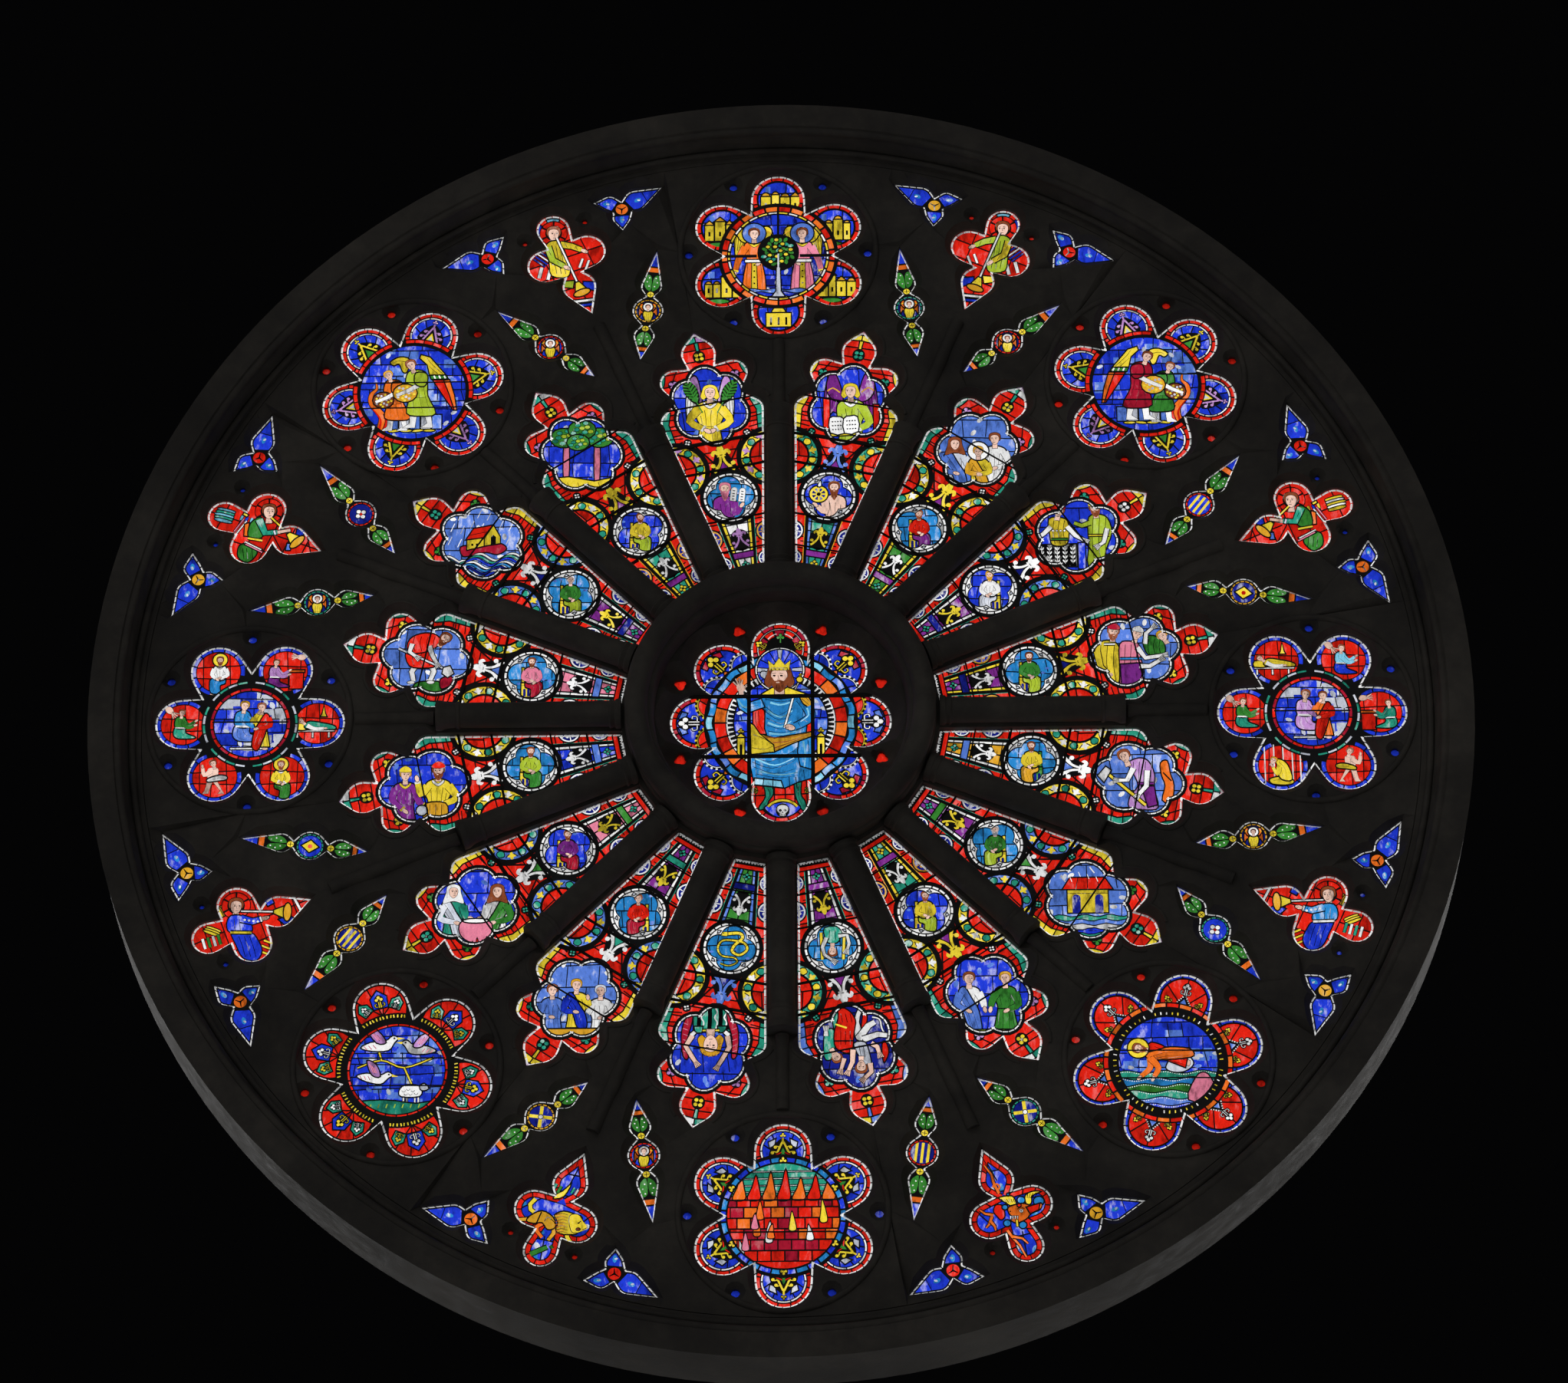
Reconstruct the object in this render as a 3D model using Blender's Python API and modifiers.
"""Rose window of stone tracery and leaded glass.

The window stands upright in the XZ plane. The room side faces -Y. The origin is on the bed face at
the foot of the outer ring, and the rose's centre is straight above it. Every light repeats round
that centre: outlines are drawn flat with x across and y away from the centre, then turned into
place. Angles run clockwise from the top, as seen from the room.
"""

import math

import bmesh
import bpy
from mathutils import Matrix, Vector

# Counts of what repeats round the rose
BAYS = 8
PETALS = 16
RING_FACETS = 40
BAY = 2 * math.pi / BAYS
PETAL = 2 * math.pi / PETALS
FACET = 2 * math.pi / RING_FACETS

# Joints between neighbouring pieces
STONE_JOINT = 0.0003
GLASS_JOINT = 0.0003

# Outer ring
RING_APOTHEM = 5.25
RING_FACE = 0.388
RING_FRONT = 0.30
RING_BACK = 0.30
RING_SPLAY = 0.10
RING_STEP = 0.045

# Tracery plate, in front of and behind the glass
PLATE_FRONT = 0.08
PLATE_BACK = 0.20

# Mullions: a core that holds the glass, and a round shaft on the room side
MULLION_WIDTH = 0.234
MULLION_TOP = 2.62
MULLION_BACK_WIDTH = 0.11
MULLION_SHOULDER = 0.06
SHAFT_RADIUS = 0.10
SHAFT_OUT = 0.12
SHAFT_STEPS = 5

# Hub ring: seat of the mullions outside, eight-lobed light inside, roll moulding on the room side
HUB_SEAT = 1.21
ROLL_INNER = 0.96
ROLL_HOLLOW = 0.995
ROLL_CREST_INNER = 1.07
ROLL_CREST_OUTER = 1.13
ROLL_OUTER = 1.18
ROLL_OUT = 0.31
ROLL_HOLLOW_OUT = 0.17
ROLL_SHOULDER_OUT = 0.217
ROLL_ROOT = 0.01
ROLL_FACETS = 32
OCTOFOIL_LOBE_PLACE = 0.619
OCTOFOIL_LOBE_RADIUS = 0.231
OCTOFOIL_CUSP = 0.568

# Petal heads, measured outwards from the top of the mullions; the top lobe from its cusp, the tip from that lobe
SHOULDER_RADIUS = 0.10
SHOULDER_RISE = 0.055
LOWER_CUSP = (0.260, 0.218)
SIDE_LOBE = (0.233, 0.394)
SIDE_LOBE_RADIUS = 0.119
UPPER_CUSP = (0.114, 0.498)
TOP_LOBE_BEYOND = 0.112
TOP_LOBE_RADIUS = 0.139
PETAL_TIP_BEYOND = 0.192

# Six-lobed roundel lights, measured inwards from the ring
ROUNDEL_INWARD = 0.816
SEXFOIL_LOBE_PLACE = 0.512
SEXFOIL_LOBE_RADIUS = 0.216
SEXFOIL_CUSP = 0.444

# Spandrel lights between the roundels, across and inwards from the ring
SPANDREL_TOP = 0.208
SPANDREL_TOP_RADIUS = 0.135
SPANDREL_UPPER_CUSP = (0.113, 0.343)
SPANDREL_SIDE = (0.174, 0.493)
SPANDREL_SIDE_RADIUS = 0.152
SPANDREL_LOWER_CUSP = (0.085, 0.654)
SPANDREL_FOOT = 0.765
SPANDREL_FOOT_RADIUS = 0.136
SPANDREL_TIP = 1.043

# Spear lights: a medallion between two drops, leaning outwards on each side of a spandrel light
SPEAR_PLACE = (0.414, 1.179)
SPEAR_LEAN = math.radians(29.8)
SPEAR_MEDALLION_RADIUS = 0.125
SPEAR_NECK = 0.038
SPEAR_UPPER_NECK = 0.129
SPEAR_UPPER_DROP = 0.218
SPEAR_UPPER_TIP = 0.547
SPEAR_LOWER_NECK = 0.137
SPEAR_LOWER_DROP = 0.228
SPEAR_LOWER_TIP = 0.454
SPEAR_DROP_RADIUS = 0.086

# Trefoil lights against the ring: place, then neck, lobe centre, lobe radius and tip from there
TREFOIL_PLACE = (0.572, 0.244)
TREFOIL_NECKS = ((0.071, -0.059), (0.025, 0.069), (-0.082, -0.012))
TREFOIL_LOBES = ((0.129, 0.027), (-0.071, 0.082), (-0.031, -0.075))
TREFOIL_RADII = (0.097, 0.073, 0.075)
TREFOIL_TIPS = ((0.385, 0.058), (-0.203, 0.140), (-0.068, -0.195))

# The joint between two bays leaves the petal tip and passes beside the long trefoil lobe
BAY_JOINT_LEAN = math.radians(0.6)

# Leaded glass
GLASS_THICK = 0.016
CENTRE_GLASS_BACK = 0.07

# Iron armature in front of the centre light
BAR_WIDTH = 0.030
BAR_DEPTH = 0.014
BAR_GAP = 0.004
BAR_END_GAP = 0.006
UPRIGHT_PLACE = 0.243
UPPER_BAR = 0.214
LOWER_BAR = -0.292

ring_inner = RING_APOTHEM - RING_FACE
roundel_place = ring_inner - ROUNDEL_INWARD

STONE = ("limestone", (0.30, 0.27, 0.23), 0.85, 0.0)
GLASS = ("leaded_glass", (0.16, 0.20, 0.52), 0.20, 0.0)
IRON = ("wrought_iron", (0.05, 0.05, 0.05), 0.60, 0.8)


def clear_scene():
    for old in list(bpy.data.objects):
        bpy.data.objects.remove(old, do_unlink=True)


def new_collection(name):
    made = bpy.data.collections.new(name)
    bpy.context.scene.collection.children.link(made)
    return made


def new_material(name, colour, roughness, metallic):
    made = bpy.data.materials.new(name)
    made.use_nodes = True
    shader = made.node_tree.nodes["Principled BSDF"]
    shader.inputs["Base Color"].default_value = (*colour, 1.0)
    shader.inputs["Roughness"].default_value = roughness
    shader.inputs["Metallic"].default_value = metallic
    return made


# Flat outlines

def polar(radius, angle):
    """The point at this radius and clockwise angle from the top."""
    return Vector((radius * math.sin(angle), radius * math.cos(angle)))


def turned(points, angle):
    """Points turned clockwise about the rose's centre."""
    c, s = math.cos(angle), math.sin(angle)
    return [Vector((p.x * c + p.y * s, p.y * c - p.x * s)) for p in points]


def moved(points, place):
    return [p + place for p in points]


def flipped(points):
    """The mirror image in x = 0, still running anticlockwise."""
    return [Vector((-p.x, p.y)) for p in reversed(points)]


def lobe(before, centre, radius, after, steps):
    """An arc round centre that leaves the point before and meets the point after as tangents do."""
    ends = []
    for point, side in ((before, 1), (after, -1)):
        away = point - centre
        reach = math.acos(min(1.0, radius / away.length))
        ends.append(math.atan2(away.y, away.x) + side * reach)
    start, end = ends
    while end < start:
        end += 2 * math.pi
    if steps == 0:
        angles = [(start + end) / 2]
    else:
        angles = [start + (end - start) * i / steps for i in range(steps + 1)]
    return [centre + radius * Vector((math.cos(a), math.sin(a))) for a in angles]


def outline(*items):
    """A closed outline, anticlockwise: plain points, and lobes (centre, radius, steps) between them."""
    points = []
    for i, item in enumerate(items):
        if isinstance(item, Vector):
            points.append(item)
        else:
            centre, radius, steps = item
            points += lobe(items[i - 1], centre, radius, items[(i + 1) % len(items)], steps)
    return points


def inset(points, distance):
    """The outline moved inwards by distance, all round."""
    made = []
    for i, here in enumerate(points):
        came = (here - points[i - 1]).normalized()
        goes = (points[(i + 1) % len(points)] - here).normalized()
        inward = Vector((-came.y - goes.y, came.x + goes.x)).normalized()
        mitre = distance / max(0.2, inward.dot(Vector((-came.y, came.x))))
        made.append(here + inward * mitre)
    return made


def foil(lobes, place, radius, cusp, steps):
    """A ring of equal round lobes, the first at the top."""
    step = 2 * math.pi / lobes
    items = []
    for i in range(lobes):
        items.append((polar(place, -i * step), radius, steps))
        items.append(polar(cusp, -(i + 0.5) * step))
    return outline(*items)


# The lights

def octofoil():
    return foil(8, OCTOFOIL_LOBE_PLACE, OCTOFOIL_LOBE_RADIUS, OCTOFOIL_CUSP, 3)


def sexfoil():
    points = foil(6, SEXFOIL_LOBE_PLACE, SEXFOIL_LOBE_RADIUS, SEXFOIL_CUSP, 4)
    return moved(points, Vector((0.0, roundel_place)))


def mullion_corner(radius):
    """The right-hand corner of a petal at this radius along the mullion, in the petal's own frame."""
    half = PETAL / 2
    across = radius * math.sin(half) - MULLION_WIDTH / 2 * math.cos(half)
    return Vector((across, radius * math.cos(half) + MULLION_WIDTH / 2 * math.sin(half)))


def petal_head():
    """The right half of a petal's head, from the top of the mullion to the tip."""
    half = PETAL / 2
    base = MULLION_TOP
    shoulder_y = base + SHOULDER_RISE
    side = MULLION_WIDTH / 2 + SHOULDER_RADIUS
    shoulder = Vector(((shoulder_y * math.sin(half) - side) / math.cos(half), shoulder_y))
    lower = Vector((LOWER_CUSP[0], base + LOWER_CUSP[1]))
    upper = Vector((UPPER_CUSP[0], base + UPPER_CUSP[1]))
    side_lobe = Vector((SIDE_LOBE[0], base + SIDE_LOBE[1]))
    top_lobe = Vector((0.0, upper.y + TOP_LOBE_BEYOND))
    tip = Vector((0.0, top_lobe.y + PETAL_TIP_BEYOND))
    corner = mullion_corner(MULLION_TOP)
    points = [corner]
    points += lobe(corner, shoulder, SHOULDER_RADIUS, lower, 1)
    points.append(lower)
    points += lobe(lower, side_lobe, SIDE_LOBE_RADIUS, upper, 3)
    points.append(upper)
    points += lobe(upper, top_lobe, TOP_LOBE_RADIUS, tip, 1)
    points.append(tip)
    return points


def petal():
    right = [mullion_corner(HUB_SEAT)] + petal_head()[1:]
    return right + flipped(right[:-1])


def inward_from_ring(place):
    return Vector((place[0], ring_inner - place[1]))


def spandrel():
    top = Vector((0.0, ring_inner - SPANDREL_TOP))
    foot = Vector((0.0, ring_inner - SPANDREL_FOOT))
    tip = Vector((0.0, ring_inner - SPANDREL_TIP))
    upper, lower = inward_from_ring(SPANDREL_UPPER_CUSP), inward_from_ring(SPANDREL_LOWER_CUSP)
    side = inward_from_ring(SPANDREL_SIDE)
    left_upper, left_lower, left_side = flipped([side, lower, upper])
    return outline(
        (top, SPANDREL_TOP_RADIUS, 3), left_upper,
        (left_side, SPANDREL_SIDE_RADIUS, 3), left_lower,
        (foot, SPANDREL_FOOT_RADIUS, 1), tip,
        (foot, SPANDREL_FOOT_RADIUS, 1), lower,
        (side, SPANDREL_SIDE_RADIUS, 3), upper,
    )


def spear():
    """The right-hand spear of a spandrel light."""
    upper = Vector((SPEAR_NECK, SPEAR_UPPER_NECK))
    lower = Vector((SPEAR_NECK, -SPEAR_LOWER_NECK))
    upper_drop = (Vector((0.0, SPEAR_UPPER_DROP)), SPEAR_DROP_RADIUS, 0)
    lower_drop = (Vector((0.0, -SPEAR_LOWER_DROP)), SPEAR_DROP_RADIUS, 0)
    medallion = (Vector((0.0, 0.0)), SPEAR_MEDALLION_RADIUS, 2)
    left_lower, left_upper = flipped([upper, lower])
    points = outline(
        upper, upper_drop, Vector((0.0, SPEAR_UPPER_TIP)), upper_drop, left_upper, medallion,
        left_lower, lower_drop, Vector((0.0, -SPEAR_LOWER_TIP)), lower_drop, lower, medallion,
    )
    return moved(turned(points, SPEAR_LEAN), inward_from_ring(SPEAR_PLACE))


def trefoil():
    """The right-hand trefoil of a spandrel light."""
    items = []
    for neck, centre, radius, tip in zip(TREFOIL_NECKS, TREFOIL_LOBES, TREFOIL_RADII, TREFOIL_TIPS):
        drop = (Vector(centre), radius, 0)
        items += [Vector(neck), drop, Vector(tip), drop]
    return moved(outline(*items), inward_from_ring(TREFOIL_PLACE))


# The stone outlines

def ring_edge(angle):
    """The faceted circle inside the outer ring, less the joint, at this angle."""
    off = (angle + FACET / 2) % FACET - FACET / 2
    return polar((ring_inner - STONE_JOINT) / math.cos(off), angle)


def bay_outline():
    """One bay of tracery: from the petal tip left of a roundel to the petal tip right of a spandrel."""
    start, end = -PETAL / 2, BAY - PETAL / 2
    right = petal_head()[1:]
    left = flipped(right)
    seat = [Vector((-MULLION_WIDTH / 2, MULLION_TOP)), Vector((MULLION_WIDTH / 2, MULLION_TOP))]
    points = turned(right[::-1], start)
    points += seat
    points += turned(left[::-1] + right[::-1][1:], PETAL / 2)
    points += turned(seat, PETAL)
    points += turned(left[::-1], end)
    outer = [ring_edge(end + BAY_JOINT_LEAN)]
    first = math.floor((end + BAY_JOINT_LEAN) / FACET - 0.5)
    last = math.ceil((start + BAY_JOINT_LEAN) / FACET - 0.5)
    outer += [ring_edge((i + 0.5) * FACET) for i in range(first, last - 1, -1)]
    outer.append(ring_edge(start + BAY_JOINT_LEAN))
    return inset_sides(points + outer, len(points))


def inset_sides(points, count):
    """Draws the bay's two side joints in by half a joint each, so that neighbours don't touch."""
    half = STONE_JOINT / 2
    for i, angle, side in ((0, -PETAL / 2, 1), (len(points) - 1, -PETAL / 2, 1),
                           (count - 1, BAY - PETAL / 2, -1), (count, BAY - PETAL / 2, -1)):
        points[i] = points[i] + side * half * Vector((math.cos(angle), -math.sin(angle)))
    return points


def hub_outline():
    points = []
    for i in range(PETALS):
        seat = [Vector((MULLION_WIDTH / 2, HUB_SEAT)), Vector((-MULLION_WIDTH / 2, HUB_SEAT))]
        points += turned(seat, -i * PETAL)
    return inset(points, STONE_JOINT)


# Solids

def flat_solid(name, outlines, front, back):
    """A plate with holes, upright, from y = -front to y = back. The first outline is the outside."""
    mesh = extruded(name, outlines, front + back)
    upright = Matrix.Rotation(math.pi / 2, 4, "X")
    mesh.transform(Matrix.Translation((0.0, (back - front) / 2, 0.0)) @ upright)
    return mesh


def extruded(name, outlines, thickness):
    """Closed outlines filled, less the holes among them, and given a thickness about their plane."""
    drawn = bpy.data.curves.new(name + "_drawn", "CURVE")
    drawn.dimensions = "2D"
    drawn.fill_mode = "BOTH"
    drawn.extrude = thickness / 2
    for points in outlines:
        spline = drawn.splines.new("POLY")
        spline.points.add(len(points) - 1)
        for place, point in zip(spline.points, points):
            place.co = (point.x, point.y, 0.0, 1.0)
        spline.use_cyclic_u = True
    return mesh_of_curve(name, drawn)


def mesh_of_curve(name, drawn):
    """The curve as a closed mesh, with its loose caps welded to its sides."""
    guide = bpy.data.objects.new(name + "_guide", drawn)
    bpy.context.scene.collection.objects.link(guide)
    graph = bpy.context.evaluated_depsgraph_get()
    mesh = bpy.data.meshes.new_from_object(guide.evaluated_get(graph))
    mesh.name = name
    bpy.data.objects.remove(guide, do_unlink=True)
    weld(mesh)
    return mesh


def weld(mesh):
    work = bmesh.new()
    work.from_mesh(mesh)
    bmesh.ops.remove_doubles(work, verts=work.verts, dist=1e-5)
    bmesh.ops.recalc_face_normals(work, faces=work.faces)
    work.to_mesh(mesh)
    work.free()


def turned_solid(name, profile, facets, start):
    """A closed profile of (radius, y) points turned about the rose's axis."""
    mesh = bpy.data.meshes.new(name)
    corners = [(radius * math.sin(start), y, radius * math.cos(start)) for radius, y in profile]
    count = len(corners)
    mesh.from_pydata(corners, [(i, (i + 1) % count) for i in range(count)], [])
    made = bpy.data.objects.new(name + "_turned", mesh)
    bpy.context.scene.collection.objects.link(made)
    screw = made.modifiers.new("turn", "SCREW")
    screw.axis = "Y"
    screw.angle = 2 * math.pi
    screw.steps = facets
    screw.render_steps = facets
    screw.use_merge_vertices = True
    screw.merge_threshold = 1e-5
    graph = bpy.context.evaluated_depsgraph_get()
    solid = bpy.data.meshes.new_from_object(made.evaluated_get(graph))
    solid.name = name
    bpy.data.objects.remove(made, do_unlink=True)
    weld(solid)
    return solid


def add_piece(name, mesh, material, angle=0.0):
    """A named piece, turned clockwise about the rose's centre."""
    if not mesh.materials:
        mesh.materials.append(material)
    made = bpy.data.objects.new(name, mesh)
    made.parent = rose
    made.rotation_euler = (0.0, angle, 0.0)
    window.objects.link(made)
    return made


def add_cutter(name, mesh):
    made = bpy.data.objects.new(name, mesh)
    made.parent = rose
    made.hide_render = True
    made.display_type = "WIRE"
    cutters.objects.link(made)
    return made


def join(piece, other):
    union = piece.modifiers.new("join_" + other.name, "BOOLEAN")
    union.operation = "UNION"
    union.object = other


def shade_round(mesh, sharp=math.radians(35)):
    mesh.shade_smooth()
    mesh.set_sharp_from_angle(angle=sharp)


# Pieces

def build_outer_ring():
    vertex = 1 / math.cos(FACET / 2)
    outer = RING_APOTHEM * vertex
    inner = ring_inner * vertex
    profile = [
        (outer, -RING_FRONT),
        (outer, RING_BACK),
        (inner, RING_BACK),
        (inner, -PLATE_FRONT),
        (inner + RING_STEP, -PLATE_FRONT),
        (inner + RING_STEP + RING_SPLAY, -RING_FRONT),
    ]
    mesh = turned_solid("outer_ring", profile, RING_FACETS, FACET / 2)
    add_piece("outer_ring", mesh, stone)


def build_hub_ring():
    plate = flat_solid("hub_ring", [hub_outline(), octofoil()], PLATE_FRONT, PLATE_BACK)
    hub = add_piece("hub_ring", plate, stone)
    rooted = -PLATE_FRONT + ROLL_ROOT
    crest = -PLATE_FRONT - ROLL_OUT
    profile = [
        (ROLL_INNER, rooted),
        (ROLL_HOLLOW, -PLATE_FRONT - ROLL_HOLLOW_OUT),
        (ROLL_CREST_INNER, crest),
        (ROLL_CREST_OUTER, crest),
        (ROLL_OUTER, -PLATE_FRONT - ROLL_SHOULDER_OUT),
        (ROLL_OUTER, rooted),
    ]
    roll = turned_solid("hub_roll", profile[::-1], ROLL_FACETS, math.pi / ROLL_FACETS)
    join(hub, add_cutter("hub_roll", roll))


def build_mullions():
    half = MULLION_WIDTH / 2
    buried = math.acos(min(1.0, (SHAFT_OUT - MULLION_SHOULDER) / SHAFT_RADIUS))
    sweep = 2 * math.pi - 2 * buried
    section = [
        Vector((half, -MULLION_SHOULDER)),
        Vector((half, MULLION_SHOULDER)),
        Vector((MULLION_BACK_WIDTH / 2, PLATE_BACK)),
        Vector((-MULLION_BACK_WIDTH / 2, PLATE_BACK)),
        Vector((-half, MULLION_SHOULDER)),
        Vector((-half, -MULLION_SHOULDER)),
    ]
    for i in range(SHAFT_STEPS + 1):
        t = 2 * math.pi - buried - sweep * i / SHAFT_STEPS
        section.append(Vector((SHAFT_RADIUS * math.sin(t), SHAFT_RADIUS * math.cos(t) - SHAFT_OUT)))
    foot, top = HUB_SEAT + STONE_JOINT, MULLION_TOP - STONE_JOINT
    mesh = extruded("mullion", [section], top - foot)
    mesh.transform(Matrix.Translation((0.0, 0.0, (top + foot) / 2)))
    shade_round(mesh)
    for i in range(PETALS):
        add_piece(f"mullion_{i + 1:02d}", mesh, stone, i * PETAL)


def build_tracery():
    lights = [sexfoil()]
    for light in (spear(), trefoil()):
        lights += [turned(light, PETAL), turned(flipped(light), PETAL)]
    lights.append(turned(spandrel(), PETAL))
    mesh = flat_solid("tracery", [bay_outline()] + lights, PLATE_FRONT, PLATE_BACK)
    for i in range(BAYS):
        add_piece(f"tracery_{i + 1}", mesh, stone, i * BAY)


def build_glass():
    half = GLASS_THICK / 2
    centre = flat_solid(
        "centre_glass", [inset(octofoil(), GLASS_JOINT)], half - CENTRE_GLASS_BACK, half + CENTRE_GLASS_BACK
    )
    add_piece("centre_glass", centre, glass)
    petal_mesh = flat_solid("petal_glass", [inset(petal(), GLASS_JOINT)], half, half)
    for i in range(PETALS):
        add_piece(f"petal_glass_{i + 1:02d}", petal_mesh, glass, (i + 0.5) * PETAL)
    for name, light, first in (("roundel_glass", sexfoil(), 0.0), ("spandrel_glass", spandrel(), PETAL)):
        mesh = flat_solid(name, [inset(light, GLASS_JOINT)], half, half)
        for i in range(BAYS):
            add_piece(f"{name}_{i + 1}", mesh, glass, first + i * BAY)


def span(points, place, across):
    """The clear length of a bar centred on this line within an outline: upright, or level if across."""
    ends = []
    for i, here in enumerate(points):
        there = points[i - 1]
        a, b = (here.y, there.y) if across else (here.x, there.x)
        for edge in (place - BAR_WIDTH / 2, place + BAR_WIDTH / 2):
            if (a - edge) * (b - edge) < 0:
                point = here.lerp(there, (edge - a) / (b - a))
                ends.append(point.x if across else point.y)
        if abs(a - place) <= BAR_WIDTH / 2:
            ends.append(here.x if across else here.y)
    low = max(e for e in ends if e < 0) + BAR_END_GAP
    high = min(e for e in ends if e > 0) - BAR_END_GAP
    return (high + low) / 2, high - low


def bar(name, size, place):
    mesh = bpy.data.meshes.new(name)
    work = bmesh.new()
    bmesh.ops.create_cube(work, size=1.0)
    bmesh.ops.scale(work, vec=size, verts=work.verts)
    bmesh.ops.translate(work, vec=place, verts=work.verts)
    work.to_mesh(mesh)
    work.free()
    return mesh


def build_armature():
    """Two uprights and two level bars in one plane, joined where they cross."""
    light = octofoil()
    y = CENTRE_GLASS_BACK - GLASS_THICK / 2 - BAR_GAP - BAR_DEPTH / 2
    bars = []
    for x in (-UPRIGHT_PLACE, UPRIGHT_PLACE):
        middle, length = span(light, x, False)
        bars.append(((BAR_WIDTH, BAR_DEPTH, length), (x, y, middle)))
    for z in (LOWER_BAR, UPPER_BAR):
        middle, length = span(light, z, True)
        bars.append(((length, BAR_DEPTH, BAR_WIDTH), (middle, y, z)))
    first, *others = [bar(f"armature_bar_{i}", size, place) for i, (size, place) in enumerate(bars)]
    piece = add_piece("centre_armature", first, iron)
    for i, mesh in enumerate(others):
        join(piece, add_cutter(f"armature_bar_{i + 1}", mesh))


clear_scene()
window = new_collection("rose_window")
cutters = new_collection("cutters")
stone = new_material(*STONE)
glass = new_material(*GLASS)
iron = new_material(*IRON)
rose = bpy.data.objects.new("rose_centre", None)
rose.location = (0.0, 0.0, RING_APOTHEM)
window.objects.link(rose)

build_outer_ring()
build_hub_ring()
build_mullions()
build_tracery()
build_glass()
build_armature()
